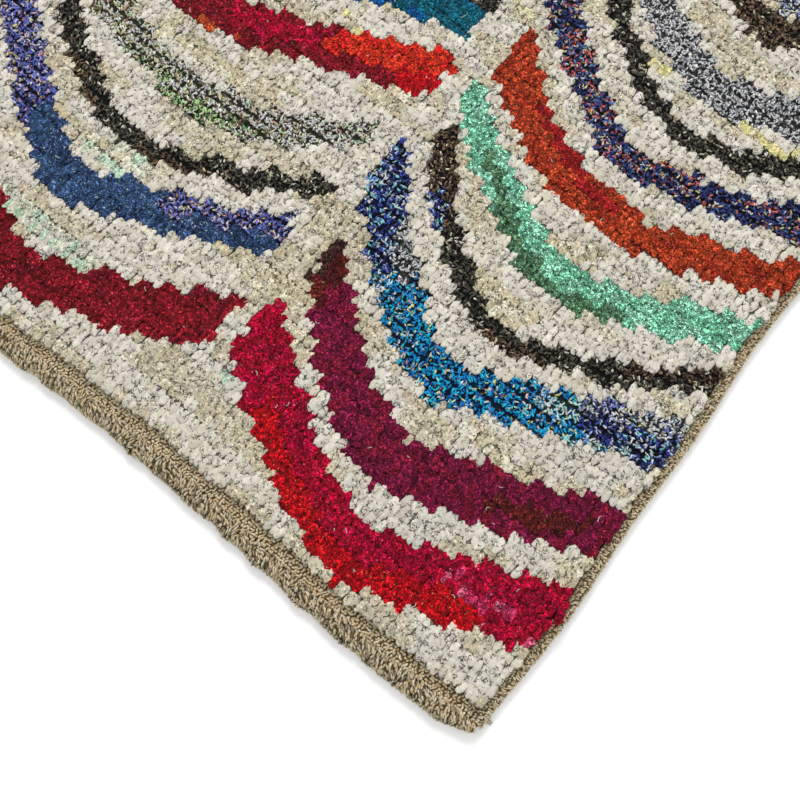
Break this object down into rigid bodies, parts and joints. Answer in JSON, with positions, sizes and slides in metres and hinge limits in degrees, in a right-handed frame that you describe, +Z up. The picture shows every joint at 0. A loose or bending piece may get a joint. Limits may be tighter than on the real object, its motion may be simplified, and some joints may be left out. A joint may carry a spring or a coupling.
{
  "type": "hand-woven pile rug",
  "caption": "Rectangular hand-knotted pile rug lying flat, nested scallop stripes on a cream ground, flat-woven end bands, plaited ends, overcast sides.",
  "frame": {"origin": "under the middle of the rug, on the floor that it lies on", "axes": "+X across the rug to its right selvedge, +Y along the warps to its far plaited end, +Z up out of the pile"},
  "size_m": [0.6088, 0.9044, 0.0125],
  "materials": {
    "pile_yarn": "matt wool pile, cream with coloured stripes",
    "tan_yarn": "matt spun yarn, tan"
  },
  "bodies": {
    "root": {"pile_field": "pile_yarn", "selvedge_right": "tan_yarn", "selvedge_left": "tan_yarn", "end_plait_near": "tan_yarn", "end_plait_far": "tan_yarn", "end_weave_near": "tan_yarn", "end_weave_far": "tan_yarn"}
  },
  "joints": []
}
